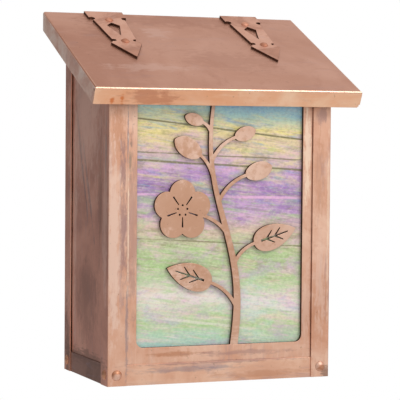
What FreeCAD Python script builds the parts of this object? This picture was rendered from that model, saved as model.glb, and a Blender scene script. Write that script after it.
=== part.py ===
import FreeCAD, Part
import math
import os
import Sketcher

# Wall mounted mailbox of folded copper sheet. Millimetres, +Z up, +X to the right seen from the front.
# The front faces -Y and the wall is the plane Y = 0. The origin is the centre of the four wall screws.
# Every piece is drawn with Z counted from the bottom of the box, then lowered by mount_height.

SIZES = [
    # the box
    ("body_width", 228.6),
    ("body_depth", 133.5),
    ("standoff", 14.0),
    ("angle_leg", 19.0),
    ("angle_gauge", 1.0),
    ("angle_bend", 1.2),
    ("sheet_gauge", 0.8),
    ("rail_height", 19.5),
    ("fold_height", 10.0),
    ("joint_gap", 0.1),
    # the lid
    ("lid_width", 271.5),
    ("lid_length", 182.3),
    ("lid_drop", 16.8),
    ("lid_slope", 25.3),
    ("lid_gauge", 1.2),
    ("lid_bend", 2.2),
    ("lid_rest_gap", 0.4),
    ("lid_wall_gap", 7.2),
    ("lid_top", 355.8),
    ("seam_gap", 0.9),
    ("relief_radius", 1.5),
    # the strap plates
    ("strap_gauge", 2.2),
    ("strap_spacing", 147.0),
    ("strap_length", 114.0),
    ("head_width", 40.0),
    ("head_length", 16.0),
    ("head_taper", 0.4),
    ("notch_radius", 3.3),
    ("notch_offset", 17.2),
    ("notch_place", 18.3),
    ("shoulder_width", 33.2),
    ("shoulder_place", 21.6),
    ("waist_width", 24.6),
    ("waist_place", 72.0),
    ("neck_radius", 2.6),
    ("neck_offset", 11.2),
    ("neck_place", 73.6),
    ("arrow_width", 31.6),
    ("arrow_place", 80.0),
    ("barb_depth", 4.0),
    ("kite_width", 13.4),
    ("kite_top", 28.8),
    ("kite_side", 36.0),
    ("kite_tip", 61.5),
    ("upper_rivet_place", 21.5),
    ("lower_rivet_place", 75.5),
    # the hinge
    ("hinge_length", 186.0),
    ("axis_inset", 1.5),
    ("axis_drop", 4.0),
    ("barrel_radius", 2.5),
    ("pin_radius", 1.2),
    ("pin_clearance", 0.05),
    ("pin_head_radius", 2.0),
    ("pin_head_depth", 0.8),
    ("leaf_gauge", 1.0),
    ("leaf_reach", 24.0),
    ("leaf_clearance", 0.4),
    ("knuckle_gap", 0.3),
    ("batten_bottom", 329.0),
    ("batten_top", 346.5),
    ("leaf_rivet_height", 337.5),
    ("leaf_rivet_spread", 0.4),
    # the window
    ("window_width", 170.6),
    ("window_bottom", 35.0),
    ("window_top", 270.0),
    ("window_radius", 7.0),
    ("window_depth", 3.6),
    ("glass_gauge", 3.0),
    ("glass_overlap", 5.7),
    ("clip_height", 16.0),
    ("clip_lap", 6.0),
    ("clip_foot", 10.0),
    ("clip_gap", 1.0),
    ("clip_low", 80.0),
    ("clip_high", 225.0),
    # the flower spray
    ("stem_foot", 14.0),
    ("stem_head", -8.0),
    ("stem_sway", 8.0),
    ("stem_overrun", 2.0),
    ("stem_lap", 1.5),
    ("stem_foot_width", 8.0),
    ("stem_head_width", 3.2),
    ("leaf_breadth", 0.55),
    ("vein_width", 2.2),
    ("bud_breadth", 0.64),
    ("petal_radius", 13.0),
    ("petal_ring", 16.0),
    ("slit_width", 1.6),
    ("dot_radius", 1.0),
    # the back and the wall screws
    ("back_gauge", 1.2),
    ("back_lip", 15.8),
    ("back_top", 347.0),
    ("mount_height", 180.0),
    ("screw_span_x", 160.0),
    ("screw_span_z", 200.0),
    ("screw_radius", 2.75),
    ("drain_radius", 2.5),
    # the rivets
    ("rivet_head_radius", 5.0),
    ("rivet_head_height", 2.3),
    ("strap_rivet_head_radius", 4.3),
    ("rivet_radius", 1.6),
    ("rivet_tail_radius", 2.6),
    ("rivet_tail_height", 1.0),
    ("rivet_inset", 9.3),
    ("rivet_height", 10.2),
    ("lip_rivet_low", 45.0),
    ("lip_rivet_high", 300.0),
]

# Half widths and places that many pieces share, as expressions of the sheet.
SIDE = "(Sizes.body_width / 2)"
FRONT = "(Sizes.standoff + Sizes.body_depth)"
FRAME_FRONT = f"({FRONT} - Sizes.angle_gauge - Sizes.sheet_gauge)"
FRAME_BACK = f"({FRAME_FRONT} - Sizes.sheet_gauge)"
WINDOW_BACK = f"({FRAME_FRONT} - Sizes.window_depth)"
PANEL_SIDE = f"({SIDE} - Sizes.angle_gauge - Sizes.sheet_gauge)"
INNER_SIDE = f"({PANEL_SIDE} - Sizes.sheet_gauge - Sizes.joint_gap)"
BACK_SIDE = f"({SIDE} - Sizes.angle_leg)"
AXIS_Y = ("(-Sizes.lid_wall_gap - Sizes.axis_inset * cos(Sizes.lid_slope)"
          " + Sizes.axis_drop * sin(Sizes.lid_slope))")
AXIS_Z = ("(Sizes.lid_top - Sizes.axis_inset * sin(Sizes.lid_slope)"
          " - Sizes.axis_drop * cos(Sizes.lid_slope))")
LEAF_BACK = f"({AXIS_Y} + Sizes.barrel_radius)"

RIVET_SIDE = f"({SIDE} - Sizes.rivet_inset)"
DRAIN_PLACES = (0.25, 0.8)
LEAF_RIVET_PLACES = (-0.40, -0.14, 0.14, 0.40)
KNUCKLES = 9
# REACH goes through anything, PAST a little beyond an edge; a curve is cut into chords within CURVE_ERROR.
REACH = 1000
PAST = 5
CURVE_ERROR = 0.06

X_AXIS = FreeCAD.Vector(1, 0, 0)
Y_AXIS = FreeCAD.Vector(0, 1, 0)
Z_AXIS = FreeCAD.Vector(0, 0, 1)

doc = FreeCAD.newDocument("mailbox")
sheet = doc.addObject("Spreadsheet::Sheet", "Sizes")
pieces = []


def fill_sheet():
    """One row per driving dimension: its name, then its value."""
    for row, (name, value) in enumerate(SIZES, start=1):
        sheet.set(f"A{row}", name)
        sheet.set(f"B{row}", str(value))
        sheet.setAlias(f"B{row}", name)
    doc.recompute()


def measure(expression):
    """The number that an expression of the sheet gives now."""
    return float(sheet.evalExpression(expression))


# ---------------------------------------------------------------- drawing helpers

def new_body(label):
    body = doc.addObject("PartDesign::Body", label)
    body.Label = label
    pieces.append(body)
    return body


def new_sketch(body, role, offset="0"):
    """A sketch on one of the body's own origin planes, moved along the plane's normal by offset."""
    sketch = body.newObject("Sketcher::SketchObject", f"{body.Name}_sketch")
    plane = next(feature for feature in body.Origin.OriginFeatures if feature.Role == role)
    sketch.AttachmentSupport = (plane, "")
    sketch.MapMode = "FlatFace"
    sketch.AttachmentOffset = FreeCAD.Placement(FreeCAD.Vector(0, 0, measure(offset)), FreeCAD.Rotation())
    sketch.setExpression("AttachmentOffset.Base.z", offset)
    return sketch


def bind(sketch, kind, target, expression):
    """A driving distance or radius held to an expression of the sheet."""
    index = sketch.addConstraint(Sketcher.Constraint(kind, *target, measure(expression)))
    name = f"size{index}"
    sketch.renameConstraint(index, name)
    sketch.setExpression(f"Constraints.{name}", expression)


def place(sketch, geometry, end, across, up):
    """Hold one end of a line, or a centre, at a point given by two expressions."""
    bind(sketch, "DistanceX", (-1, 1, geometry, end), across)
    bind(sketch, "DistanceY", (-1, 1, geometry, end), up)


def draw_outline(sketch, corners):
    """A closed outline of straight lines through corners, each a pair of expressions."""
    first = sketch.GeometryCount
    points = [FreeCAD.Vector(measure(across), measure(up), 0) for across, up in corners]
    count = len(points)
    for index in range(count):
        sketch.addGeometry(Part.LineSegment(points[index], points[(index + 1) % count]), False)
    for index in range(count):
        following = first + (index + 1) % count
        sketch.addConstraint(Sketcher.Constraint("Coincident", first + index, 2, following, 1))
    for index, (across, up) in enumerate(corners):
        place(sketch, first + index, 1, across, up)


def draw_box(sketch, left, bottom, right, top):
    draw_outline(sketch, [(left, bottom), (right, bottom), (right, top), (left, top)])


def draw_circle(sketch, across, up, radius):
    centre = FreeCAD.Vector(measure(across), measure(up), 0)
    circle = sketch.addGeometry(Part.Circle(centre, Z_AXIS, measure(radius)), False)
    place(sketch, circle, 3, across, up)
    bind(sketch, "Radius", (circle,), radius)


def pad(body, sketch, length, backwards=False, both_ways=False):
    feature = body.newObject("PartDesign::Pad", f"{body.Name}_pad")
    feature.Profile = sketch
    feature.Reversed = backwards
    feature.SideType = "Symmetric" if both_ways else "One side"
    feature.setExpression("Length", length)
    doc.recompute()
    return feature


def cut(body, sketch, length=str(REACH), backwards=False, both_ways=True):
    """Remove the sketch's area from the body, and make sure that something was removed."""
    before = body.Shape.Volume
    feature = body.newObject("PartDesign::Pocket", f"{body.Name}_cut")
    feature.Profile = sketch
    feature.Reversed = backwards
    feature.SideType = "Symmetric" if both_ways else "One side"
    feature.setExpression("Length", length)
    doc.recompute()
    if body.Shape.Volume > before - 1e-3:
        raise RuntimeError(f"{feature.Name} removed nothing from {body.Label}")
    return feature


def drill(body, role, centres, radius="Sizes.rivet_radius"):
    """Round holes right through the body, square to one of its origin planes."""
    sketch = new_sketch(body, role)
    for across, up in centres:
        draw_circle(sketch, across, up, radius)
    cut(body, sketch)


def round_edges(body, chosen, radius):
    """Fillet the edges of the body's last feature that the test picks."""
    base = body.Tip
    names = [f"Edge{number}" for number, edge in enumerate(base.Shape.Edges, start=1) if chosen(edge)]
    fillet = body.newObject("PartDesign::Fillet", f"{body.Name}_bend")
    fillet.Base = (base, names)
    fillet.setExpression("Radius", radius)
    doc.recompute()


def lies_on(edge, **wanted):
    """True for an edge whose two ends both have the wanted coordinates."""
    ends = [vertex.Point for vertex in edge.Vertexes]
    return all(abs(getattr(end, axis) - value) < 1e-4 for end in ends for axis, value in wanted.items())


def lower(body):
    """Count heights from the wall screws instead of from the bottom of the box."""
    drop = FreeCAD.Vector(0, 0, -measure("Sizes.mount_height"))
    body.Placement = FreeCAD.Placement(drop, FreeCAD.Rotation())


def lid_placement():
    """The lid's own frame: origin on its rear top edge, X along the edge, Z square to the sheet."""
    height = measure("Sizes.lid_top - Sizes.mount_height")
    corner = FreeCAD.Vector(0, -measure("Sizes.lid_wall_gap"), height)
    return FreeCAD.Placement(corner, FreeCAD.Rotation(X_AXIS, measure("Sizes.lid_slope")))


def under_lid(y):
    """Height of the box's sloping top, just under the closed lid, at the expression y."""
    return (f"(Sizes.lid_top + ({y} + Sizes.lid_wall_gap) * tan(Sizes.lid_slope)"
            " - (Sizes.lid_gauge + Sizes.lid_rest_gap) / cos(Sizes.lid_slope))")


def trim_to_slope(body):
    """Cut away all that would stand above the box's sloping top."""
    sketch = new_sketch(body, "YZ_Plane")
    front = f"(-{FRONT} - {PAST})"
    rear = str(PAST)
    above = str(REACH)
    draw_outline(sketch, [(front, under_lid(front)), (rear, under_lid(rear)), (rear, above), (front, above)])
    cut(body, sketch)


# ---------------------------------------------------------------- the box

def make_post(label, side, at_front):
    """A corner angle: one leg on the front or rear, one on the side, its top cut to the lid's slope."""
    body = new_body(label)
    sketch = new_sketch(body, "XY_Plane")
    inward = "+" if at_front else "-"
    corner = f"-{FRONT}" if at_front else "-Sizes.standoff"

    def at(across, deep):
        return (f"{side} * ({SIDE} - {across})", f"{corner} {inward} {deep}")

    leg = "Sizes.angle_leg"
    gauge = "Sizes.angle_gauge"
    corners = [at("0", "0"), at(leg, "0"), at(leg, gauge), at(gauge, gauge), at(gauge, leg), at("0", leg)]
    draw_outline(sketch, corners)
    pad(body, sketch, "Sizes.lid_top")
    bend = {"x": side * measure(SIDE), "y": measure(corner)}
    round_edges(body, lambda edge: lies_on(edge, **bend), "Sizes.angle_bend")
    trim_to_slope(body)
    drill(body, "XZ_Plane", [(f"{side} * {RIVET_SIDE}", height) for height in post_rivets(at_front)])
    drill(body, "YZ_Plane", [(f"{corner} {inward} Sizes.rivet_inset", "Sizes.rivet_height")])
    lower(body)


def post_rivets(at_front):
    return ["Sizes.rivet_height"] if at_front else ["Sizes.lip_rivet_low", "Sizes.lip_rivet_high"]


def side_rivet_places():
    """Where the two rivets of a side's bottom rail are, from front to rear."""
    return [f"(-{FRONT} + Sizes.rivet_inset)", "(-Sizes.standoff - Sizes.rivet_inset)"]


def make_side_panel(label, side):
    body = new_body(label)
    sketch = new_sketch(body, "YZ_Plane", f"{side} * {PANEL_SIDE}")
    front = f"(-{FRAME_FRONT} + Sizes.joint_gap)"
    rear = "(-Sizes.standoff - Sizes.angle_gauge - Sizes.joint_gap)"
    low = "Sizes.joint_gap"
    draw_outline(sketch, [(front, low), (rear, low), (rear, under_lid(rear)), (front, under_lid(front))])
    pad(body, sketch, "Sizes.sheet_gauge", backwards=side > 0)
    drill(body, "YZ_Plane", [(place, "Sizes.rivet_height") for place in side_rivet_places()])
    lower(body)


def make_side_rail(label, side):
    body = new_body(label)
    sketch = new_sketch(body, "YZ_Plane", f"{side} * ({SIDE} - Sizes.angle_gauge)")
    rear = "(-Sizes.standoff - Sizes.angle_gauge - Sizes.joint_gap)"
    draw_box(sketch, f"(-{FRAME_FRONT} + Sizes.joint_gap)", "0", rear, "Sizes.rail_height")
    pad(body, sketch, "Sizes.sheet_gauge", backwards=side > 0)
    drill(body, "YZ_Plane", [(place, "Sizes.rivet_height") for place in side_rivet_places()])
    lower(body)


def make_front_rail():
    body = new_body("front_rail")
    sketch = new_sketch(body, "XZ_Plane", FRAME_FRONT)
    reach = f"({SIDE} - Sizes.angle_gauge)"
    draw_box(sketch, f"-{reach}", "0", reach, "Sizes.rail_height")
    pad(body, sketch, "Sizes.sheet_gauge")
    drill(body, "XZ_Plane", [(f"{side} * {RIVET_SIDE}", "Sizes.rivet_height") for side in (-1, 1)])
    lower(body)


def make_floor_pan():
    """The bottom: a plate with a tongue into the back pan, and three edges folded up inside the rails."""
    body = new_body("floor_pan")
    rear = "(-Sizes.standoff - Sizes.angle_gauge - Sizes.joint_gap)"
    front = f"(-{FRAME_BACK} + Sizes.joint_gap)"
    plate = new_sketch(body, "XY_Plane")
    tongue = f"({BACK_SIDE} - Sizes.joint_gap)"
    tongue_end = "(-Sizes.back_gauge - Sizes.joint_gap)"
    draw_outline(plate, [
        (f"-{INNER_SIDE}", front), (INNER_SIDE, front), (INNER_SIDE, rear), (tongue, rear),
        (tongue, tongue_end), (f"-{tongue}", tongue_end), (f"-{tongue}", rear), (f"-{INNER_SIDE}", rear)])
    pad(body, plate, "Sizes.sheet_gauge")
    for side in (-1, 1):
        fold = new_sketch(body, "YZ_Plane", f"{side} * {INNER_SIDE}")
        draw_box(fold, front, "0", rear, "Sizes.fold_height + Sizes.rivet_height / 2")
        pad(body, fold, "Sizes.sheet_gauge", backwards=side > 0)
    fold = new_sketch(body, "XZ_Plane", f"-{front}")
    draw_box(fold, f"-{INNER_SIDE}", "0", INNER_SIDE, "Sizes.fold_height + Sizes.rivet_height / 2")
    pad(body, fold, "Sizes.sheet_gauge", backwards=True)
    drill(body, "XZ_Plane", [(f"{side} * {RIVET_SIDE}", "Sizes.rivet_height") for side in (-1, 1)])
    drill(body, "YZ_Plane", [(place, "Sizes.rivet_height") for place in side_rivet_places()])
    drains = [
        (f"{side} * Sizes.screw_span_x / 2", f"-{FRONT} * {share}")
        for side in (-1, 1) for share in DRAIN_PLACES]
    drill(body, "XY_Plane", drains, "Sizes.drain_radius")
    lower(body)


def make_back_pan():
    """The back: a hat section, its crown flat on the wall and its two lips on the rear posts."""
    body = new_body("back_pan")
    sketch = new_sketch(body, "XY_Plane")
    wall_side = f"({BACK_SIDE} + Sizes.back_gauge)"
    lip_end = f"({BACK_SIDE} + Sizes.back_lip)"
    lip_front = "-Sizes.standoff"
    lip_back = "(-Sizes.standoff + Sizes.back_gauge)"
    half = [(lip_end, lip_front), (lip_end, lip_back), (wall_side, lip_back), (wall_side, "0")]
    inner = [(BACK_SIDE, "-Sizes.back_gauge"), (BACK_SIDE, lip_front)]
    outline = half + [(f"-{x}", y) for x, y in reversed(half)]
    outline += [(f"-{x}", y) for x, y in reversed(inner)] + inner
    draw_outline(sketch, outline)
    pad(body, sketch, "Sizes.back_top")
    screws = [(f"{side} * Sizes.screw_span_x / 2", f"Sizes.mount_height + {end} * Sizes.screw_span_z / 2")
              for side in (-1, 1) for end in (-1, 1)]
    drill(body, "XZ_Plane", screws, "Sizes.screw_radius")
    lips = [(f"{side} * {RIVET_SIDE}", height) for side in (-1, 1) for height in post_rivets(False)]
    drill(body, "XZ_Plane", lips)
    drill(body, "XZ_Plane", [(across, "Sizes.leaf_rivet_height") for across in leaf_rivet_places()])
    lower(body)


# ---------------------------------------------------------------- the window

def make_window_frame():
    """The front sheet, with the window's edge folded in to carry the glass."""
    body = new_body("window_frame")
    face = new_sketch(body, "XZ_Plane", FRAME_BACK)
    draw_box(face, f"-{INNER_SIDE}", "Sizes.joint_gap", INNER_SIDE, under_lid(f"(-{FRAME_FRONT})"))
    pad(body, face, "Sizes.sheet_gauge")
    fold = new_sketch(body, "XZ_Plane", WINDOW_BACK)
    edge = "Sizes.window_width / 2 + Sizes.sheet_gauge"
    low = "Sizes.window_bottom - Sizes.sheet_gauge"
    draw_box(fold, f"-({edge})", low, edge, "Sizes.window_top + Sizes.sheet_gauge")
    pad(body, fold, "Sizes.window_depth")
    round_edges(body, is_fold_corner, "Sizes.window_radius + Sizes.sheet_gauge")
    opening = new_sketch(body, "XZ_Plane")
    draw_rounded_window(opening)
    cut(body, opening)
    drill(body, "XZ_Plane", [(f"{side} * {RIVET_SIDE}", "Sizes.rivet_height") for side in (-1, 1)])
    lower(body)


def is_fold_corner(edge):
    """One of the four short edges along Y at the corners of the window's fold."""
    ends = [vertex.Point for vertex in edge.Vertexes]
    if len(ends) != 2 or (ends[0] - ends[1]).cross(Y_AXIS).Length > 1e-6:
        return False
    return abs(abs(ends[0].x) - measure("Sizes.window_width / 2 + Sizes.sheet_gauge")) < 1e-4


def draw_rounded_window(sketch):
    """A rectangle with a quarter circle at each corner."""
    half = measure("Sizes.window_width / 2")
    low = measure("Sizes.window_bottom")
    high = measure("Sizes.window_top")
    radius = measure("Sizes.window_radius")
    reach = half - radius
    ends = [(-reach, low, reach, low), (half, low + radius, half, high - radius),
            (reach, high, -reach, high), (-half, high - radius, -half, low + radius)]
    for x1, z1, x2, z2 in ends:
        sketch.addGeometry(Part.LineSegment(FreeCAD.Vector(x1, z1, 0), FreeCAD.Vector(x2, z2, 0)), False)
    centres = [(reach, low + radius, -90), (reach, high - radius, 0), (-reach, high - radius, 90),
               (-reach, low + radius, 180)]
    for x, z, start in centres:
        circle = Part.Circle(FreeCAD.Vector(x, z, 0), Z_AXIS, radius)
        arc = Part.ArcOfCircle(circle, math.radians(start), math.radians(start + 90))
        sketch.addGeometry(arc, False)
    for index in range(4):
        sketch.addConstraint(Sketcher.Constraint("Tangent", index, 2, 4 + index, 1))
        sketch.addConstraint(Sketcher.Constraint("Tangent", 4 + index, 2, (index + 1) % 4, 1))
        bind(sketch, "Radius", (4 + index,), "Sizes.window_radius")
    for line in (0, 2):
        sketch.addConstraint(Sketcher.Constraint("Horizontal", line))
    for line in (1, 3):
        sketch.addConstraint(Sketcher.Constraint("Vertical", line))
    bind(sketch, "DistanceY", (-1, 1, 0, 1), "Sizes.window_bottom")
    bind(sketch, "DistanceY", (-1, 1, 2, 1), "Sizes.window_top")
    bind(sketch, "DistanceX", (-1, 1, 1, 1), "Sizes.window_width / 2")
    bind(sketch, "DistanceX", (-1, 1, 3, 1), "-Sizes.window_width / 2")


def make_art_glass():
    body = new_body("art_glass")
    back = f"({WINDOW_BACK} - Sizes.joint_gap)"
    sketch = new_sketch(body, "XZ_Plane", back)
    edge = "(Sizes.window_width / 2 + Sizes.glass_overlap)"
    low = "Sizes.window_bottom - Sizes.glass_overlap"
    draw_box(sketch, f"-{edge}", low, edge, "Sizes.window_top + Sizes.glass_overlap")
    pad(body, sketch, "Sizes.glass_gauge", backwards=True)
    lower(body)


def make_glass_clip(label, side, height):
    """A Z-shaped clip: its foot on the front sheet, its tongue over the edge of the glass."""
    body = new_body(label)
    sketch = new_sketch(body, "XY_Plane", height)
    gauge = "Sizes.sheet_gauge"
    frame = f"-{FRAME_BACK}"
    tongue = f"(-{WINDOW_BACK} + Sizes.glass_gauge + 2 * Sizes.joint_gap)"
    riser = "(Sizes.window_width / 2 + Sizes.glass_overlap + Sizes.clip_gap)"
    lap = f"({riser} - Sizes.clip_gap - Sizes.clip_lap)"
    corners = [
        (f"({riser} + Sizes.clip_foot)", frame), (f"({riser} + Sizes.clip_foot)", f"{frame} + {gauge}"),
        (f"({riser} + {gauge})", f"{frame} + {gauge}"), (f"({riser} + {gauge})", f"{tongue} + {gauge}"),
        (lap, f"{tongue} + {gauge}"), (lap, tongue), (riser, tongue), (riser, frame)]
    draw_outline(sketch, [(f"{side} * {x}", y) for x, y in corners])
    pad(body, sketch, "Sizes.clip_height")
    lower(body)


# ---------------------------------------------------------------- the flower spray

# A pierced plate that fills the window: a plain climbing plant of round petals and pointed leaves.
# Each side stem has the share of the main stem's height where it starts, its side, its reach and rise,
# what it carries and how long that is.

SIDE_STEMS = [
    (0.15, -1, 28, 26, "leaf", 48),
    (0.33, 1, 22, 20, "leaf", 46),
    (0.45, -1, 32, 20, "bloom", 0),
    (0.58, 1, 30, 26, "bud", 28),
    (0.66, -1, 16, 26, "bud", 30),
    (0.74, 1, 26, 24, "bud", 22),
    (0.86, -1, 10, 9, "bud", 19),
]
PETALS = 5

# Proportions of the plant. A pair is a share along and a share across, in lengths and widths, or for
# a taper the widths at foot and head, in widths of the main stem's head or of the midrib's foot.
STEM_ELBOW = (0.30, 0.75)
SIDE_STEM_TAPER = (1.2, 0.9)
OVAL_NEAR = (0.02, 0.62)
OVAL_ACROSS = 0.68
LEAF_FULLNESS = 0.60
BUD_FULLNESS = 0.85
RIB_SPAN = (0.14, 0.78)
SIDE_VEINS = (0.26, 0.46)
SIDE_VEIN_REACH = (0.17, 0.24)
SIDE_VEIN_TAPER = (0.8, 0.4)
SEPAL_SIZE = (0.34, 0.16)
SEPAL_LEAN = 48
SLIT_START = 0.40
DOT_PLACE = 0.31


def plate_point(x, z):
    return FreeCAD.Vector(x, 0, z)


def heading(degrees):
    """The direction in the plate that is turned up from X by an angle."""
    angle = math.radians(degrees)
    return plate_point(math.cos(angle), math.sin(angle))


def flattened(curve):
    """Points close together along a curve."""
    return curve.toShape().discretize(Deflection=CURVE_ERROR)


def filled(points):
    """The flat face inside a closed run of points."""
    return Part.Face(Part.makePolygon(points + [points[0]]))


def disc(centre, radius):
    return filled(flattened(Part.Circle(centre, Y_AXIS, radius))[:-1])


def straight(start, end):
    return lambda share: start + (end - start) * share


def bowed(start, elbow, end):
    """A curve from start to end that bends towards the elbow."""
    def middle(share):
        rest = 1 - share
        return start * (rest * rest) + elbow * (2 * rest * share) + end * (share * share)
    return middle


def strip(middle, foot_width, head_width, steps=4):
    """A strip along a middle line, its width going evenly from foot to head."""
    edges = ([], [])
    near = 0.01
    for step in range(steps + 1):
        share = step / steps
        ahead = middle(min(share + near, 1)) - middle(max(share - near, 0))
        across = ahead.cross(Y_AXIS).normalize() * (foot_width + (head_width - foot_width) * share) / 2
        edges[0].append(middle(share) + across)
        edges[1].append(middle(share) - across)
    sides = []
    for points in edges:
        curve = Part.BSplineCurve()
        curve.interpolate(points)
        sides.append(flattened(curve))
    return filled(sides[0] + sides[1][::-1])


def pointed_oval(base, along, length, width, fullness):
    """A leaf or bud: two mirrored curves from base to tip; fullness is where the far half is widest."""
    across = along.cross(Y_AXIS)
    sides = []
    for side in (1, -1):
        near = base + along * (OVAL_NEAR[0] * length) + across * (OVAL_NEAR[1] * width * side)
        far = base + along * (fullness * length) + across * (OVAL_ACROSS * width * side)
        curve = Part.BezierCurve()
        curve.setPoles([base, near, far, base + along * length])
        sides.append(flattened(curve))
    return filled(sides[0] + sides[1][-2:0:-1])


def main_stem(share):
    """The middle of the main stem: a slow S from below the window's lower edge to above its top."""
    low = measure("Sizes.window_bottom - Sizes.stem_overrun")
    high = measure("Sizes.window_top + Sizes.stem_overrun")
    lean = measure("Sizes.stem_foot") * (1 - share) + measure("Sizes.stem_head") * share
    sway = measure("Sizes.stem_sway") * math.sin(2 * math.pi * share)
    return plate_point(lean + sway, low + share * (high - low))


def leaf_faces(base, along, length):
    """A leaf and its cut veins: a midrib and pairs of side veins."""
    width = length * measure("Sizes.leaf_breadth")
    across = along.cross(Y_AXIS)
    lapped = base - along * measure("Sizes.stem_lap")
    leaf = pointed_oval(lapped, along, length, width, LEAF_FULLNESS)
    rib = measure("Sizes.vein_width")
    ends = [base + along * (share * length) for share in RIB_SPAN]
    cuts = [strip(straight(*ends), rib, rib / 2)]
    for place in SIDE_VEINS:
        for side in (1, -1):
            foot = base + along * (place * length)
            reach = along * (SIDE_VEIN_REACH[0] * length) + across * (side * SIDE_VEIN_REACH[1] * width)
            cuts.append(strip(straight(foot, foot + reach), *(rib * share for share in SIDE_VEIN_TAPER)))
    return [leaf], cuts


def bud_faces(base, along, length):
    """A bud with two small sepals at its foot."""
    width = length * measure("Sizes.bud_breadth")
    lapped = base - along * measure("Sizes.stem_lap")
    faces = [pointed_oval(lapped, along, length, width, BUD_FULLNESS)]
    turn = math.degrees(math.atan2(along.z, along.x))
    sepal_length = length * SEPAL_SIZE[0]
    sepal_width = length * SEPAL_SIZE[1]
    for lean in (-SEPAL_LEAN, SEPAL_LEAN):
        faces.append(pointed_oval(lapped, heading(turn + lean), sepal_length, sepal_width, LEAF_FULLNESS))
    return faces, []


def bloom_faces(base, along):
    """Round petals in a ring, with a slit between each two and a dot in front of each."""
    radius = measure("Sizes.petal_radius")
    ring = measure("Sizes.petal_ring")
    slit = measure("Sizes.slit_width")
    dot = measure("Sizes.dot_radius")
    centre = base + along * (ring - measure("Sizes.stem_lap"))
    faces = [disc(centre, ring / 2)]
    cuts = []
    turn = 360 / PETALS
    for index in range(PETALS):
        out = heading(90 + index * turn)
        between = heading(90 + (index + 0.5) * turn)
        faces.append(disc(centre + out * ring, radius))
        ends = [centre + between * (ring * SLIT_START), centre + between * ring]
        cuts.append(strip(straight(*ends), slit / 2, slit))
        cuts.append(disc(centre + out * (ring * DOT_PLACE), dot))
    return faces, cuts


def spray_outline():
    """The plate's front face, cut off flush where the main stem meets the window's edges."""
    foot_width = measure("Sizes.stem_foot_width")
    head_width = measure("Sizes.stem_head_width")
    side_widths = [head_width * share for share in SIDE_STEM_TAPER]
    faces = [strip(main_stem, foot_width, head_width, steps=24)]
    cuts = []
    for place, side, reach, rise, carries, length in SIDE_STEMS:
        start = main_stem(place)
        elbow = start + plate_point(side * STEM_ELBOW[0] * reach, STEM_ELBOW[1] * rise)
        end = start + plate_point(side * reach, rise)
        faces.append(strip(bowed(start, elbow, end), *side_widths, steps=8))
        along = (end - elbow).normalize()
        if carries == "leaf":
            made = leaf_faces(end, along, length)
        elif carries == "bud":
            made = bud_faces(end, along, length)
        else:
            made = bloom_faces(end, along)
        faces += made[0]
        cuts += made[1]
    half = measure("Sizes.window_width / 2")
    low = measure("Sizes.window_bottom")
    high = measure("Sizes.window_top")
    window = Part.makeBox(2 * half, 1, high - low, FreeCAD.Vector(-half, 0, low))
    plate = faces[0].extrude(Y_AXIS).fuse([face.extrude(Y_AXIS) for face in faces[1:]])
    plate = plate.cut([face.extrude(Y_AXIS) for face in cuts]).common(window).removeSplitter()
    return max((face for face in plate.Faces if face.CenterOfMass.y < 1e-6), key=lambda face: face.Area)


def make_flower_spray():
    """The pierced plate: its outline, as thick as the window's fold is deep."""
    outline = doc.addObject("Part::Feature", "spray_outline")
    outline.Shape = spray_outline()
    spray = doc.addObject("Part::Extrusion", "flower_spray")
    spray.Label = "flower_spray"
    spray.Base = outline
    spray.DirMode = "Custom"
    spray.Dir = Y_AXIS
    spray.Solid = True
    spray.setExpression("LengthFwd", "Sizes.window_depth")
    spray.setExpression("Placement.Base.y", f"-{FRAME_FRONT}")
    spray.setExpression("Placement.Base.z", "-Sizes.mount_height")
    pieces.append(spray)


# ---------------------------------------------------------------- the lid

def make_lid_pan():
    """The lid: a sloping sheet with its front and side edges folded down, open at the rear."""
    body = new_body("lid_pan")
    block = new_sketch(body, "YZ_Plane")
    rear_cut = "-Sizes.lid_drop * tan(Sizes.lid_slope)"
    draw_outline(block, [("0", "0"), ("-Sizes.lid_length", "0"), ("-Sizes.lid_length", "-Sizes.lid_drop"),
                         (rear_cut, "-Sizes.lid_drop")])
    pad(body, block, "Sizes.lid_width", both_ways=True)
    half = measure("Sizes.lid_width / 2")
    front = -measure("Sizes.lid_length")

    def is_bend(edge):
        return lies_on(edge, z=0, x=half) or lies_on(edge, z=0, x=-half) or lies_on(edge, z=0, y=front)

    round_edges(body, is_bend, "Sizes.lid_bend")
    hollow = new_sketch(body, "XY_Plane", "-Sizes.lid_gauge")
    inside = "(Sizes.lid_width / 2 - Sizes.lid_gauge)"
    draw_box(hollow, f"-{inside}", "-Sizes.lid_length + Sizes.lid_gauge", inside, str(PAST))
    cut(body, hollow, f"Sizes.lid_drop + {PAST}", both_ways=False)
    cut_corner_seams(body)
    clip_front_corner(body)
    drill(body, "XY_Plane", [(f"{side} * Sizes.strap_spacing / 2", f"-{place}")
                             for side in (-1, 1) for place in strap_rivet_places()])
    body.Placement = lid_placement()


def cut_corner_seams(body):
    """An open seam and a round relief hole where each side fold meets the front fold."""
    seam = new_sketch(body, "YZ_Plane")
    front = "(-Sizes.lid_length + Sizes.lid_gauge)"
    draw_box(seam, front, f"-Sizes.lid_drop - {PAST}", f"({front} + Sizes.seam_gap)", "-Sizes.lid_bend")
    cut(body, seam)
    drill(body, "YZ_Plane", [(f"({front} + Sizes.relief_radius)", "-Sizes.lid_bend - Sizes.relief_radius")],
          "Sizes.relief_radius")


def clip_front_corner(body):
    """The front fold's lower right corner is snipped off."""
    snip = new_sketch(body, "XY_Plane", "-Sizes.lid_drop")
    edge = "Sizes.lid_width / 2"
    draw_box(snip, f"{edge} - Sizes.lid_bend", f"-Sizes.lid_length - {PAST}", f"{edge} + {PAST}",
             "-Sizes.lid_length + Sizes.lid_gauge + Sizes.seam_gap / 2")
    cut(body, snip, "2 * Sizes.relief_radius", backwards=True, both_ways=False)


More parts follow.
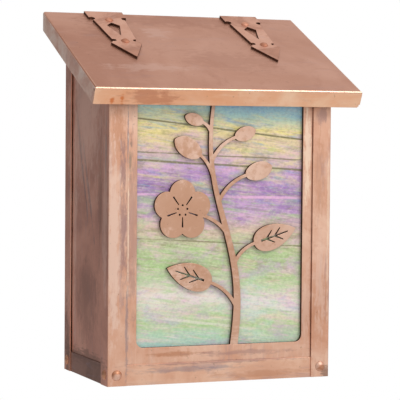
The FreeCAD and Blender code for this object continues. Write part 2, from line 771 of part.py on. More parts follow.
def strap_rivet_places():
    return ["Sizes.upper_rivet_place", "Sizes.lower_rivet_place"]


def make_strap(label, side):
    """A strap plate: wide head, tapering strap with a kite-shaped window, and an arrow point."""
    body = new_body(label)
    sketch = new_sketch(body, "XY_Plane")
    half = [
        ("Sizes.head_width / 2", "0"), ("Sizes.head_width / 2 - Sizes.head_taper", "-Sizes.head_length"),
        ("Sizes.shoulder_width / 2", "-Sizes.shoulder_place"),
        ("Sizes.waist_width / 2", "-Sizes.waist_place"),
        ("Sizes.waist_width / 2", "-Sizes.arrow_place + Sizes.barb_depth"),
        ("Sizes.arrow_width / 2", "-Sizes.arrow_place")]
    outline = half + [("0", "-Sizes.strap_length")] + [(f"-({x})", y) for x, y in reversed(half)]
    draw_outline(sketch, outline)
    pad(body, sketch, "Sizes.strap_gauge")
    kite = new_sketch(body, "XY_Plane")
    draw_outline(kite, [("0", "-Sizes.kite_top"), ("Sizes.kite_width / 2", "-Sizes.kite_side"),
                        ("0", "-Sizes.kite_tip"), ("-Sizes.kite_width / 2", "-Sizes.kite_side")])
    cut(body, kite)
    bites = [("Sizes.notch_offset", "-Sizes.notch_place", "Sizes.notch_radius"),
             ("Sizes.neck_offset", "-Sizes.neck_place", "Sizes.neck_radius")]
    for across, along, radius in bites:
        drill(body, "XY_Plane", [(across, along), (f"-{across}", along)], radius)
    drill(body, "XY_Plane", [("0", f"-{place}") for place in strap_rivet_places()])
    across = FreeCAD.Vector(side * measure("Sizes.strap_spacing / 2"), 0, 0)
    shift = FreeCAD.Placement(across, FreeCAD.Rotation())
    body.Placement = lid_placement() * shift


# ---------------------------------------------------------------- the hinge

def knuckle_ends(first):
    """Start and end of every second knuckle along X, as expressions, from the first one given."""
    pitch = f"Sizes.hinge_length / {KNUCKLES}"
    ends = []
    for number in range(first, KNUCKLES, 2):
        start = f"(-Sizes.hinge_length / 2 + {number} * {pitch} + Sizes.knuckle_gap / 2)"
        ends.append((start, f"({start} + {pitch} - Sizes.knuckle_gap)"))
    return ends


def leaf_rivet_places():
    return [f"{share} * Sizes.hinge_length" for share in LEAF_RIVET_PLACES]


def add_knuckles(body, spans, across, up, bore):
    """Rolled barrels about the hinge axis, then the bore for the pin."""
    for start, end in spans:
        sketch = new_sketch(body, "YZ_Plane", start)
        draw_circle(sketch, across, up, "Sizes.barrel_radius")
        pad(body, sketch, f"{end} - {start}")
    drill(body, "YZ_Plane", [(across, up)], bore)


def make_lid_leaf():
    """The hinge leaf under the lid, cut back beside the other leaf's knuckles."""
    body = new_body("hinge_lid_leaf")
    axis = "-Sizes.axis_inset"
    setback = f"({axis} - Sizes.barrel_radius - Sizes.leaf_clearance)"
    plate = new_sketch(body, "XY_Plane", "-Sizes.lid_gauge")
    half = "Sizes.hinge_length / 2"
    draw_box(plate, f"-{half}", f"({axis} - Sizes.leaf_reach)", half, setback)
    pad(body, plate, "Sizes.leaf_gauge", backwards=True)
    spans = knuckle_ends(1)
    for start, end in spans:
        tab = new_sketch(body, "XY_Plane", "-Sizes.lid_gauge")
        draw_box(tab, start, f"({setback} - Sizes.leaf_gauge)", end, axis)
        pad(body, tab, "Sizes.leaf_gauge", backwards=True)
    add_knuckles(body, spans, axis, "-Sizes.axis_drop", "Sizes.pin_radius + Sizes.pin_clearance")
    holes = [(f"{side} * Sizes.strap_spacing / 2", "-Sizes.upper_rivet_place") for side in (-1, 1)]
    drill(body, "XY_Plane", holes)
    body.Placement = lid_placement()


def make_back_leaf():
    """The hinge leaf on the back, cut back beside the lid leaf's knuckles."""
    body = new_body("hinge_back_leaf")
    setback = f"({AXIS_Z} - Sizes.barrel_radius - Sizes.leaf_clearance)"
    plate = new_sketch(body, "XZ_Plane", f"-{LEAF_BACK}")
    draw_box(plate, "-Sizes.hinge_length / 2", "Sizes.batten_bottom", "Sizes.hinge_length / 2", setback)
    pad(body, plate, "Sizes.leaf_gauge")
    spans = knuckle_ends(0)
    for start, end in spans:
        tab = new_sketch(body, "XZ_Plane", f"-{LEAF_BACK}")
        draw_box(tab, start, f"({setback} - Sizes.leaf_gauge)", end, AXIS_Z)
        pad(body, tab, "Sizes.leaf_gauge")
    add_knuckles(body, spans, AXIS_Y, AXIS_Z, "Sizes.pin_radius")
    drill(body, "XZ_Plane", [(across, "Sizes.leaf_rivet_height") for across in leaf_rivet_places()])
    lower(body)


def make_hinge_pin():
    """A plain pin with a small peened head just past each end of the barrel."""
    body = new_body("hinge_pin")
    shank = new_sketch(body, "YZ_Plane")
    draw_circle(shank, AXIS_Y, AXIS_Z, "Sizes.pin_radius")
    end = "(Sizes.hinge_length / 2 + Sizes.joint_gap)"
    pad(body, shank, f"2 * ({end} + Sizes.pin_head_depth)", both_ways=True)
    for side in (-1, 1):
        head = new_sketch(body, "YZ_Plane", f"{side} * {end}")
        draw_circle(head, AXIS_Y, AXIS_Z, "Sizes.pin_head_radius")
        pad(body, head, "Sizes.pin_head_depth", backwards=side < 0)
    lower(body)


def make_batten():
    """The bar that fills the space between the hinge leaf and the back."""
    body = new_body("hinge_batten")
    sketch = new_sketch(body, "XZ_Plane", "Sizes.back_gauge")
    half = "Sizes.hinge_length / 2"
    draw_box(sketch, f"-{half}", "Sizes.batten_bottom", half, "Sizes.batten_top")
    pad(body, sketch, f"(-{LEAF_BACK} - Sizes.back_gauge)")
    drill(body, "XZ_Plane", [(across, "Sizes.leaf_rivet_height") for across in leaf_rivet_places()])
    lower(body)


# ---------------------------------------------------------------- the rivets

ROUND_HEAD = ("Sizes.rivet_head_radius", "Sizes.rivet_head_height")


def make_rivet(label, placement, grip, head=ROUND_HEAD, tail=True):
    """A domed rivet on the local Z axis: its head stands on Z = 0 and its shank fills the grip below."""
    body = new_body(label)
    sketch = new_sketch(body, "XZ_Plane")
    head_radius, head_height = head
    shank = "Sizes.rivet_radius"
    corners = [("0", f"-({grip})"), (shank, f"-({grip})"), (shank, "0"), (head_radius, "0")]
    if tail:
        foot = f"-({grip}) - Sizes.rivet_tail_height"
        spread = "Sizes.rivet_tail_radius"
        corners[0:1] = [("0", foot), (spread, foot), (spread, f"-({grip})")]
    points = [FreeCAD.Vector(measure(x), measure(y), 0) for x, y in corners + [("0", head_height)]]
    count = len(corners)
    for index in range(count - 1):
        sketch.addGeometry(Part.LineSegment(points[index], points[index + 1]), False)
    rim = points[count - 1].x
    top = points[count].y
    radius = (rim ** 2 + top ** 2) / (2 * top)
    circle = Part.Circle(FreeCAD.Vector(0, top - radius, 0), Z_AXIS, radius)
    sketch.addGeometry(Part.ArcOfCircle(circle, math.atan2(radius - top, rim), math.pi / 2), False)
    sketch.addGeometry(Part.LineSegment(points[count], points[0]), False)
    for index in range(count - 2):
        sketch.addConstraint(Sketcher.Constraint("Coincident", index, 2, index + 1, 1))
    arc = count - 1
    sketch.addConstraint(Sketcher.Constraint("Coincident", count - 2, 2, arc, 1))
    sketch.addConstraint(Sketcher.Constraint("Coincident", arc, 2, arc + 1, 1))
    sketch.addConstraint(Sketcher.Constraint("Coincident", arc + 1, 2, 0, 1))
    for index in range(count - 1):
        place(sketch, index, 1, *corners[index])
    place(sketch, count - 2, 2, *corners[-1])
    place(sketch, arc, 2, "0", head_height)
    sketch.addConstraint(Sketcher.Constraint("PointOnObject", arc, 3, -2))
    turn = body.newObject("PartDesign::Revolution", f"{body.Name}_turn")
    turn.Profile = sketch
    turn.ReferenceAxis = (sketch, ["V_Axis"])
    turn.Angle = 360
    doc.recompute()
    body.Placement = placement


def facing(direction, x, y, z):
    """A placement at expressions x, y, z (z from the box's bottom) that turns local Z to direction."""
    point = FreeCAD.Vector(measure(x), measure(y), measure(f"{z} - Sizes.mount_height"))
    return FreeCAD.Placement(point, FreeCAD.Rotation(Z_AXIS, direction))


def make_box_rivets():
    """Front and side rivets through the post, rail, panel and floor fold; rear ones through lip and post."""
    stack = "Sizes.angle_gauge + 3 * Sizes.sheet_gauge + Sizes.joint_gap"
    for side, name in ((-1, "left"), (1, "right")):
        across = f"{side} * {RIVET_SIDE}"
        make_rivet(f"rivet_front_{name}", facing(-Y_AXIS, across, f"-{FRONT}", "Sizes.rivet_height"), stack)
        for end, y in zip(("front", "rear"), side_rivet_places()):
            seat = facing(X_AXIS * side, f"{side} * {SIDE}", y, "Sizes.rivet_height")
            make_rivet(f"rivet_{name}_side_{end}", seat, stack)
        for end, height in zip(("low", "high"), post_rivets(False)):
            seat = facing(Y_AXIS, across, "-Sizes.standoff + Sizes.back_gauge", height)
            make_rivet(f"rivet_back_{name}_{end}", seat, "Sizes.back_gauge + Sizes.angle_gauge")


def make_leaf_rivets():
    """Rivets of the back leaf, filed flush where they come out on the wall side."""
    head = ("Sizes.rivet_tail_radius + Sizes.leaf_rivet_spread", "Sizes.rivet_tail_height")
    front = f"{LEAF_BACK} - Sizes.leaf_gauge"
    for number, across in enumerate(leaf_rivet_places(), start=1):
        seat = facing(-Y_AXIS, across, front, "Sizes.leaf_rivet_height")
        make_rivet(f"rivet_leaf_{number}", seat, f"-({front})", head, tail=False)


def make_strap_rivets():
    """Rivets of the straps; the upper ones go through the hinge leaf as well."""
    plain = "Sizes.strap_gauge + Sizes.lid_gauge"
    grips = [f"{plain} + Sizes.leaf_gauge", plain]
    head = ("Sizes.strap_rivet_head_radius", "Sizes.rivet_head_height")
    for side, name in ((-1, "left"), (1, "right")):
        for end, place_along, grip in zip(("upper", "lower"), strap_rivet_places(), grips):
            local = FreeCAD.Vector(side * measure("Sizes.strap_spacing / 2"), -measure(place_along),
                                   measure("Sizes.strap_gauge"))
            seat = lid_placement() * FreeCAD.Placement(local, FreeCAD.Rotation())
            make_rivet(f"rivet_strap_{name}_{end}", seat, grip, head)


# ---------------------------------------------------------------- build, check and write

def build():
    for side, name in ((-1, "left"), (1, "right")):
        make_post(f"post_front_{name}", side, True)
        make_post(f"post_rear_{name}", side, False)
        make_side_panel(f"side_panel_{name}", side)
        make_side_rail(f"side_rail_{name}", side)
        make_glass_clip(f"glass_clip_{name}_low", side, "Sizes.clip_low")
        make_glass_clip(f"glass_clip_{name}_high", side, "Sizes.clip_high")
        make_strap(f"strap_{name}", side)
    make_front_rail()
    make_floor_pan()
    make_back_pan()
    make_window_frame()
    make_art_glass()
    make_flower_spray()
    make_lid_pan()
    make_lid_leaf()
    make_back_leaf()
    make_hinge_pin()
    make_batten()
    make_box_rivets()
    make_leaf_rivets()
    make_strap_rivets()


def check_and_write():
    doc.recompute()
    failed = [item.Label for item in doc.Objects if {"Invalid", "Error"} & set(item.State)]
    if failed:
        raise RuntimeError(f"failed objects: {failed}")
    os.makedirs("parts", exist_ok=True)
    for piece in pieces:
        shape = piece.Shape
        if shape.isNull() or not shape.isValid() or len(shape.Solids) != 1:
            raise RuntimeError(f"{piece.Label} is not one valid solid")
        shape.exportStep(f"parts/{piece.Label}.step")
        print(f"{piece.Label}: {shape.Volume / 1000:.2f} cm3")


fill_sheet()
build()
check_and_write()
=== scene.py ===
import math

import bpy
from mathutils import Matrix, Vector


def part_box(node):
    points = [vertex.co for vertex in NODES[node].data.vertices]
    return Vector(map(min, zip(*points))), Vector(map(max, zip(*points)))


# Wall mounted copper mailbox: materials, light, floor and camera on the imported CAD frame.
# Metres, +Z up, the front faces -Y, the wall is the plane Y = 0.

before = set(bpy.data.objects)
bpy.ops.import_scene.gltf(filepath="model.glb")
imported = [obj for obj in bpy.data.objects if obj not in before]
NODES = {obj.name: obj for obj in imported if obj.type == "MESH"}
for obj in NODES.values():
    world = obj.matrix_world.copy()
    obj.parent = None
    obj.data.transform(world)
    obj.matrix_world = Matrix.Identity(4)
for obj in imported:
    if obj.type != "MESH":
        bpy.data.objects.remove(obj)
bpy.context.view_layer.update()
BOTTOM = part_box("post_front_left")[0].z


# ---------------------------------------------------------------- node helpers

def colour(red, green, blue):
    """A display colour of 0 to 255 per channel as linear light."""
    def linear(value):
        share = value / 255
        return share / 12.92 if share <= 0.04045 else ((share + 0.055) / 1.055) ** 2.4
    return (linear(red), linear(green), linear(blue), 1.0)


class Paint:
    """A material and short calls that add nodes to it."""

    def __init__(self, name):
        self.material = bpy.data.materials.new(name)
        self.material.use_nodes = True
        self.tree = self.material.node_tree
        self.shader = self.tree.nodes["Principled BSDF"]
        self.at = self.add("ShaderNodeTexCoord").outputs["Object"]
        split = self.add("ShaderNodeSeparateXYZ")
        self.link(self.at, split.inputs[0])
        self.x, self.y, self.z = split.outputs

    def add(self, kind, **settings):
        made = self.tree.nodes.new(kind)
        for name, value in settings.items():
            setattr(made, name, value)
        return made

    def link(self, value, socket):
        if isinstance(value, bpy.types.NodeSocket):
            self.tree.links.new(value, socket)
        else:
            socket.default_value = value

    def math(self, operation, first, second=0.0, third=0.0, clamp=False):
        made = self.add("ShaderNodeMath", operation=operation, use_clamp=clamp)
        for value, socket in zip((first, second, third), made.inputs):
            self.link(value, socket)
        return made.outputs[0]

    def point(self, x, y, z):
        made = self.add("ShaderNodeCombineXYZ")
        for value, socket in zip((x, y, z), made.inputs):
            self.link(value, socket)
        return made.outputs[0]

    def stretched(self, x, y, z):
        """The object's coordinates scaled along each axis."""
        made = self.add("ShaderNodeMapping", vector_type="TEXTURE")
        self.link(self.at, made.inputs["Vector"])
        made.inputs["Scale"].default_value = (1 / x, 1 / y, 1 / z)
        return made.outputs[0]

    def noise(self, scale, detail=4.0, roughness=0.5, distortion=0.0, at=None, offset=0.0):
        """Noise from 0 to 1; offset picks another pattern of the same kind."""
        made = self.add("ShaderNodeTexNoise", noise_dimensions="4D")
        self.link(at if at is not None else self.at, made.inputs["Vector"])
        for name, value in (("W", offset), ("Scale", scale), ("Detail", detail), ("Roughness", roughness),
                            ("Distortion", distortion)):
            made.inputs[name].default_value = value
        return made.outputs["Fac"]

    def ramp(self, factor, stops):
        """A colour, or a grey given as one number, for each place from 0 to 1."""
        made = self.add("ShaderNodeValToRGB")
        elements = made.color_ramp.elements
        while len(elements) < len(stops):
            elements.new(0.5)
        for element, (place, value) in zip(elements, sorted(stops)):
            element.position = place
            element.color = value if not isinstance(value, (int, float)) else (value, value, value, 1)
        self.link(factor, made.inputs[0])
        return made.outputs[0]

    def mask(self, factor, low, high):
        """0 below low, 1 above high and smooth between; low may be the larger one."""
        made = self.add("ShaderNodeMapRange", interpolation_type="SMOOTHSTEP")
        self.link(factor, made.inputs["Value"])
        made.inputs["From Min"].default_value = min(low, high)
        made.inputs["From Max"].default_value = max(low, high)
        made.inputs["To Min"].default_value = 0.0 if low < high else 1.0
        made.inputs["To Max"].default_value = 1.0 if low < high else 0.0
        return made.outputs[0]

    def mix(self, factor, first, second, blend="MIX"):
        made = self.add("ShaderNodeMix", data_type="RGBA", blend_type=blend)
        self.link(factor, made.inputs[0])
        self.link(first, made.inputs[6])
        self.link(second, made.inputs[7])
        return made.outputs[2]

    def spot(self, place, sizes, ragged, turn=0.0):
        """1 inside an oval patch with a torn edge and 0 outside it.

        Place and sizes are millimetres, with heights from the box's bottom. turn leans a patch on the
        box's side from upright, in degrees."""
        made = self.add("ShaderNodeMapping", vector_type="TEXTURE")
        self.link(self.at, made.inputs["Vector"])
        x, y, z = (value / 1000 for value in place)
        made.inputs["Location"].default_value = (x, y, z + BOTTOM)
        made.inputs["Rotation"].default_value = (math.radians(turn), 0, 0)
        made.inputs["Scale"].default_value = [size / 1000 for size in sizes]
        away = self.add("ShaderNodeVectorMath", operation="LENGTH")
        self.link(made.outputs[0], away.inputs[0])
        torn = self.math("ADD", away.outputs["Value"], self.math("MULTIPLY_ADD", ragged, 4.2, -2.1))
        return self.mask(torn, 1.05, 0.30)

    def seams(self, reach):
        """1 deep in a corner or joint and 0 in the open, over about reach metres."""
        made = self.add("ShaderNodeAmbientOcclusion", samples=8)
        made.inputs["Distance"].default_value = reach
        return self.math("SUBTRACT", 1.0, made.outputs["AO"], clamp=True)

    def rounded(self, radius):
        """The surface normal with sharp edges eased by a radius in metres."""
        made = self.add("ShaderNodeBevel", samples=4)
        made.inputs["Radius"].default_value = radius
        return made.outputs[0]

    def bump(self, height, depth, under=None):
        """Depth is the height in metres of a full step of the height pattern."""
        made = self.add("ShaderNodeBump")
        made.inputs["Strength"].default_value = 1.0
        made.inputs["Distance"].default_value = depth
        self.link(height, made.inputs["Height"])
        if under is not None:
            self.link(under, made.inputs["Normal"])
        return made.outputs[0]

    def finish(self, base, roughness, normal=None, **constants):
        self.link(base, self.shader.inputs["Base Color"])
        self.link(roughness, self.shader.inputs["Roughness"])
        if normal is not None:
            self.link(normal, self.shader.inputs["Normal"])
        for name, value in constants.items():
            self.shader.inputs[name.replace("_", " ")].default_value = value
        return self.material


# ---------------------------------------------------------------- copper

PALE = colour(236, 202, 182)
ROSE = colour(222, 178, 156)
WARM = colour(210, 158, 128)
BROWN = colour(186, 128, 98)
STAIN = colour(158, 138, 150)
UMBER = colour(92, 58, 40)


def copper(name, tones, stain=0.5, seam=0.6, rough=0.44, scale=1.0, grain=(1, 1, 1), offset=0.0,
           waviness=1.0, contrast=1.0, groove=0.25, marks=()):
    """Sheet copper: cloudy tones, heat stains, rubbing marks along the grain, darker in its seams with
    soiling and painted shade.

    groove is how enclosed a place is before it darkens with soiling and painted shade. marks are single
    patches, stains and some painted highlights, each as its place, sizes, tone and strength, and for some a
    lean."""
    p = Paint(name)
    cloud = p.noise(13 * scale, 6, 0.60, 0.9, offset=offset)
    base = p.ramp(cloud, [(0.33, tones[0]), (0.45, tones[3]), (0.53, tones[1]), (0.68, tones[2])])
    blot = p.noise(42 * scale, 6, 0.64, 1.4, offset=offset + 3)
    base = p.mix(p.math("MULTIPLY", p.mask(blot, 0.54, 0.70), 0.5 * contrast), base, tones[3])
    base = p.mix(p.math("MULTIPLY", p.mask(blot, 0.46, 0.32), 0.5 * contrast), base, tones[0])
    brushed = p.noise(60, 5, 0.62, 0.4, at=p.stretched(*grain), offset=offset + 5)
    base = p.mix(p.math("MULTIPLY", p.mask(brushed, 0.50, 0.74), 0.45 * contrast), base, tones[2])
    smear = p.noise(30, 6, 0.66, 1.0, at=p.stretched(*grain), offset=offset + 6)
    base = p.mix(p.math("MULTIPLY", p.mask(smear, 0.53, 0.70), stain), base, STAIN)
    ragged = p.noise(95, 5, 0.66, 0.8, offset=offset + 9)
    worn = []
    for fibres_along in (grain, (0.4, 0.4, 3)):
        fibres = p.noise(130, 4, 0.62, 0.5, at=p.stretched(*fibres_along), offset=offset + 10)
        worn.append(p.math("MULTIPLY_ADD", fibres, 0.6, p.math("MULTIPLY", ragged, 0.4)))
    for place, sizes, tone, strength, *lean in marks:
        lies_flat = min(sizes[0], sizes[1]) > sizes[2]
        patch = p.spot(place, sizes, worn[1] if lies_flat else worn[0], *lean)
        base = p.mix(p.math("MULTIPLY", patch, strength), base, tone)
    # Ambient occlusion darkens joints and corners: partly soiling, partly painted shade.
    seam_soil_and_shade = p.math("MULTIPLY", p.mask(p.seams(0.004), groove, groove + 0.7), p.mask(ragged, 0.25, 0.6))
    grime_and_shade = p.math("MULTIPLY", seam_soil_and_shade, seam)
    base = p.mix(grime_and_shade, base, colour(104, 72, 64))
    speck = p.noise(380, 2, 0.5, 0.2, offset=offset + 12)
    base = p.mix(p.math("MULTIPLY", p.mask(speck, 0.66, 0.76), 0.30), base, UMBER)
    rub = p.noise(900, 3, 0.7, 0.0, at=p.stretched(*grain), offset=offset + 15)
    roughness = p.math("ADD", p.math("MULTIPLY", cloud, 0.24), p.math("MULTIPLY", rub, 0.10))
    roughness = p.math("ADD", roughness, rough - 0.17, clamp=True)
    waves = p.noise(9, 2, 0.4, 0.3, offset=offset + 18)
    dents = p.bump(waves, 0.0022 * waviness, under=p.rounded(0.0006))
    normal = p.bump(p.noise(520, 3, 0.6, 0.0, offset=offset + 21), 0.00004, under=dents)
    return p.finish(base, roughness, normal, Metallic=1.0)


def dark_rim_colour_and_shade(name, tone=(84, 52, 36)):
    """A dark brown edge colour: partly the edges' own dark patina, partly painted shade."""
    p = Paint(name)
    edge_mottle = p.noise(260, 4, 0.6, 0.5)
    base = p.ramp(edge_mottle, [(0.3, colour(*(0.7 * value for value in tone))), (0.55, colour(*tone)),
                         (0.75, colour(*(1.35 * value for value in tone)))])
    normal = p.bump(p.noise(700, 3, 0.6), 0.00005)
    return p.finish(base, p.ramp(edge_mottle, [(0.3, 0.45), (0.7, 0.65)]), normal, Metallic=0.6)


# ---------------------------------------------------------------- art glass

SKY = colour(110, 160, 205)
AQUA = colour(170, 210, 205)
STRAW = colour(240, 224, 140)
PEACH = colour(225, 195, 175)
LILAC = colour(200, 160, 205)
VIOLET = colour(150, 105, 180)
PINK = colour(235, 180, 218)
MOSS = colour(180, 202, 145)
LEAF = colour(160, 205, 125)
OLIVE = colour(125, 118, 80)
PEARL = colour(232, 222, 214)
CREAM = colour(250, 244, 210)


def streaky_glass():
    """Opalescent pane: bands of blue, yellow, violet and green drawn out sideways, with olive lines."""
    p = Paint("art_glass")
    low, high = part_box("art_glass")
    up = p.math("DIVIDE", p.math("SUBTRACT", p.z, low.z), high.z - low.z)
    over = p.math("DIVIDE", p.math("SUBTRACT", p.x, low.x), high.x - low.x)
    drift = p.noise(11, 3, 0.5, 0.4, at=p.stretched(1, 1, 2.2))
    ripple = p.noise(34, 4, 0.6, 0.3, at=p.stretched(0.5, 1, 2.4), offset=4)
    slow = p.math("MULTIPLY_ADD", drift, 0.09, -0.045)
    swell = p.math("ADD", slow, p.math("MULTIPLY_ADD", ripple, 0.05, -0.025))
    tilt = p.math("MULTIPLY_ADD", over, 0.05, -0.025)
    level = p.math("ADD", p.math("ADD", up, tilt), swell, clamp=True)
    base = p.ramp(level, [
        (0.00, AQUA), (0.10, MOSS), (0.20, PEARL), (0.30, MOSS), (0.38, MOSS), (0.48, PEACH),
        (0.55, LILAC), (0.62, VIOLET), (0.70, LILAC), (0.78, PEACH), (0.86, STRAW), (0.92, AQUA),
        (1.00, SKY)])

    def between(lowest, highest, soft=0.04):
        """1 between two levels of the pane and 0 outside them."""
        return p.math("MULTIPLY", p.mask(level, lowest - soft, lowest + soft),
                      p.mask(level, highest + soft, highest - soft))

    # scale, slimness, tone, strength, lowest and highest level
    wisps = [
        (18, 6, PINK, 0.60, 0.50, 0.85), (16, 6, STRAW, 0.85, 0.62, 0.93),
        (20, 8, VIOLET, 0.60, 0.50, 0.74), (22, 9, PEACH, 0.60, 0.00, 0.50),
        (26, 8, LEAF, 0.60, 0.05, 0.62), (14, 7, PEARL, 0.30, 0.00, 0.32),
        (32, 12, OLIVE, 0.40, 0.30, 0.90), (26, 7, SKY, 0.55, 0.58, 1.00),
        (38, 12, CREAM, 0.30, 0.00, 0.90), (44, 9, LEAF, 0.30, 0.00, 0.65),
        (60, 8, PINK, 0.30, 0.00, 0.90),
    ]
    for index, (scale, slim, tone, strength, lowest, highest) in enumerate(wisps):
        lean = p.math("MULTIPLY_ADD", p.x, 0.13, p.z)
        flow = p.point(p.x, 0.0, p.math("MULTIPLY", lean, slim))
        wisp = p.mask(p.noise(scale, 5, 0.62, 0.5, at=flow, offset=21 + 3 * index), 0.50, 0.67)
        wisp = p.math("MULTIPLY", p.math("MULTIPLY", wisp, between(lowest, highest)), strength)
        base = p.mix(wisp, base, tone)

    # scale, tone, strength, lowest and highest level
    sheens = [
        (48, PINK, 0.45, 0.10, 0.85), (52, LEAF, 0.40, 0.05, 0.64), (46, STRAW, 0.55, 0.66, 0.90),
        (44, VIOLET, 0.50, 0.50, 0.72), (90, PEACH, 0.28, 0.00, 0.95), (110, OLIVE, 0.40, 0.30, 0.90),
        (34, LILAC, 0.50, 0.00, 0.46), (38, MOSS, 0.45, 0.52, 0.80), (30, AQUA, 0.40, 0.04, 0.30),
    ]
    for index, (scale, tone, strength, lowest, highest) in enumerate(sheens):
        patch = p.noise(scale, 6, 0.70, 0.6, at=p.stretched(0.6, 1, 1.5), offset=70 + 3 * index)
        patch = p.math("MULTIPLY", p.mask(patch, 0.50, 0.66), between(lowest, highest))
        base = p.mix(p.math("MULTIPLY", patch, strength), base, tone)

    # height at the left edge, fall to the right, thickness, tone, strength; shares of the pane's height
    lines = [
        (0.90, 0.08, 0.005, OLIVE, 0.95), (0.77, 0.03, 0.004, OLIVE, 0.80),
        (0.74, 0.04, 0.006, OLIVE, 0.90), (0.64, 0.05, 0.015, OLIVE, 0.45),
        (0.61, 0.02, 0.008, PINK, 0.80), (0.47, 0.03, 0.018, OLIVE, 0.45),
        (0.44, 0.04, 0.004, OLIVE, 0.70), (0.32, 0.06, 0.004, OLIVE, 0.45),
        (0.24, 0.10, 0.007, PEARL, 0.55), (0.15, 0.10, 0.008, PEARL, 0.55),
    ]
    for index, (place, fall, thick, tone, strength) in enumerate(lines):
        centre = p.math("MULTIPLY_ADD", over, -fall, place)
        centre = p.math("ADD", centre, p.math("MULTIPLY", swell, 0.15))
        away = p.math("ABSOLUTE", p.math("SUBTRACT", up, centre))
        worn_below = 0.64 - 0.36 * strength
        wear = p.noise(16, 3, 0.6, at=p.stretched(1, 1, 4), offset=100 + index)
        wear = p.mask(wear, worn_below, worn_below + 0.14)
        drawn = p.math("MULTIPLY", p.math("MULTIPLY", p.mask(away, thick, thick * 0.3), wear), strength)
        base = p.mix(drawn, base, tone)

    weave = p.noise(330, 3, 0.6, 0.2, at=p.stretched(1, 1, 1.3), offset=60)
    base = p.mix(p.math("MULTIPLY", p.mask(weave, 0.5, 0.7), 0.24), base, colour(110, 96, 88))
    base = p.mix(p.math("MULTIPLY", p.mask(weave, 0.5, 0.3), 0.18), base, CREAM)
    normal = p.bump(p.noise(70, 4, 0.6, 0.5, at=p.stretched(0.6, 1, 1.6), offset=63), 0.00020)
    # Painted light: the pane made brighter towards its top, where the lid's shadow falls, and a little
    # brighter overall.
    painted_light = p.math("MULTIPLY_ADD", p.mask(up, 0.80, 0.95), 0.30, 1.06)
    base = p.mix(1.0, base, p.point(painted_light, painted_light, painted_light), "MULTIPLY")
    return p.finish(base, p.ramp(weave, [(0.3, 0.18), (0.7, 0.30)]), normal, IOR=1.5, Coat_Weight=0.25,
                    Coat_Roughness=0.08)


# ---------------------------------------------------------------- other finishes

def drawn_metal(name, dark, light, rough, lines):
    """Drawn or rolled strip with long fine scratches; lines is their fineness along each axis."""
    p = Paint(name)
    cloud = p.noise(60, 5, 0.6, 0.5)
    scratch = p.noise(600, 3, 0.7, 0.0, at=p.stretched(*lines))
    base = p.ramp(cloud, [(0.3, colour(*dark)), (0.7, colour(*light))])
    darker = colour(*(0.75 * value for value in dark))
    base = p.mix(p.math("MULTIPLY", p.mask(scratch, 0.5, 0.8), 0.3), base, darker)
    # Ambient occlusion darkens joints and corners: partly soiling, partly painted shade.
    grime_and_shade = p.math("MULTIPLY", p.mask(p.seams(0.004), 0.2, 0.8), 0.6)
    base = p.mix(grime_and_shade, base, UMBER)
    roughness = p.math("MULTIPLY_ADD", scratch, 0.25, rough - 0.1)
    return p.finish(base, roughness, p.bump(scratch, 0.00003), Metallic=1.0)


# ---------------------------------------------------------------- dressing the CAD nodes

def dress(name, *materials, choose=None):
    """Give a node its materials; choose maps a face's normal and centre to a material's number."""
    mesh = NODES[name].data
    mesh.materials.clear()
    for material in materials:
        mesh.materials.append(material)
    for face in mesh.polygons:
        face.material_index = choose(face.normal, face.center) if choose else 0


def matching(start):
    return sorted(name for name in NODES if name.startswith(start))


# Millimetres: how far a stain reaches through the sheet that it is on.
THROUGH = 400


def front_of(node):
    """The Y of a node's front face, in millimetres."""
    return 1000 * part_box(node)[0].y


def front_marks():
    """The stains of the posts, the window frame and the rails, with thin painted highlights along the post
    edges; x and height in millimetres.
    """
    rust = colour(196, 136, 102)
    plum = colour(178, 140, 132)
    slate = colour(138, 132, 144)
    soot = colour(104, 74, 66)
    # Painted highlight with some pale wear: the thin pale lines along the posts' edges and the band beside
    # the right seam.
    pale_wear_and_highlight = colour(250, 220, 194)
    blush = colour(240, 204, 184)
    verdigris = colour(140, 134, 122)
    # x, height, half width, half height, tone, strength
    patches = [
        (-105, 235, 12, 35, rust, 0.60), (-100, 210, 4, 30, plum, 0.80), (-100, 145, 5, 65, plum, 0.80),
        (-109, 130, 8, 120, blush, 0.90), (-90, 150, 8, 90, plum, 0.50), (-95, 230, 1.2, 45, slate, 0.85),
        (-92, 210, 3, 15, verdigris, 0.60), (-95, 60, 2.5, 60, slate, 0.50),
        (-94, 150, 1, 80, pale_wear_and_highlight, 0.90), (90, 215, 5, 60, pale_wear_and_highlight, 0.90), (105, 255, 6, 10, plum, 0.70),
        (102, 190, 6, 50, rust, 0.40), (112, 150, 1.5, 120, pale_wear_and_highlight, 0.60), (90, 70, 6, 50, blush, 0.50),
        (104, 90, 7, 60, blush, 0.55), (112, 2, 10, 8, soot, 0.60), (-50, 28, 30, 3, rust, 0.70),
        (30, 27, 60, 3, plum, 0.55), (0, 19, 110, 2, plum, 0.65), (-30, 13, 60, 3, slate, 0.45),
        (40, 6, 60, 4, rust, 0.40),
    ]
    front = front_of("front_rail")
    return [((x, front, z), (wide, THROUGH, tall), tone, strength)
            for x, z, wide, tall, tone, strength in patches]


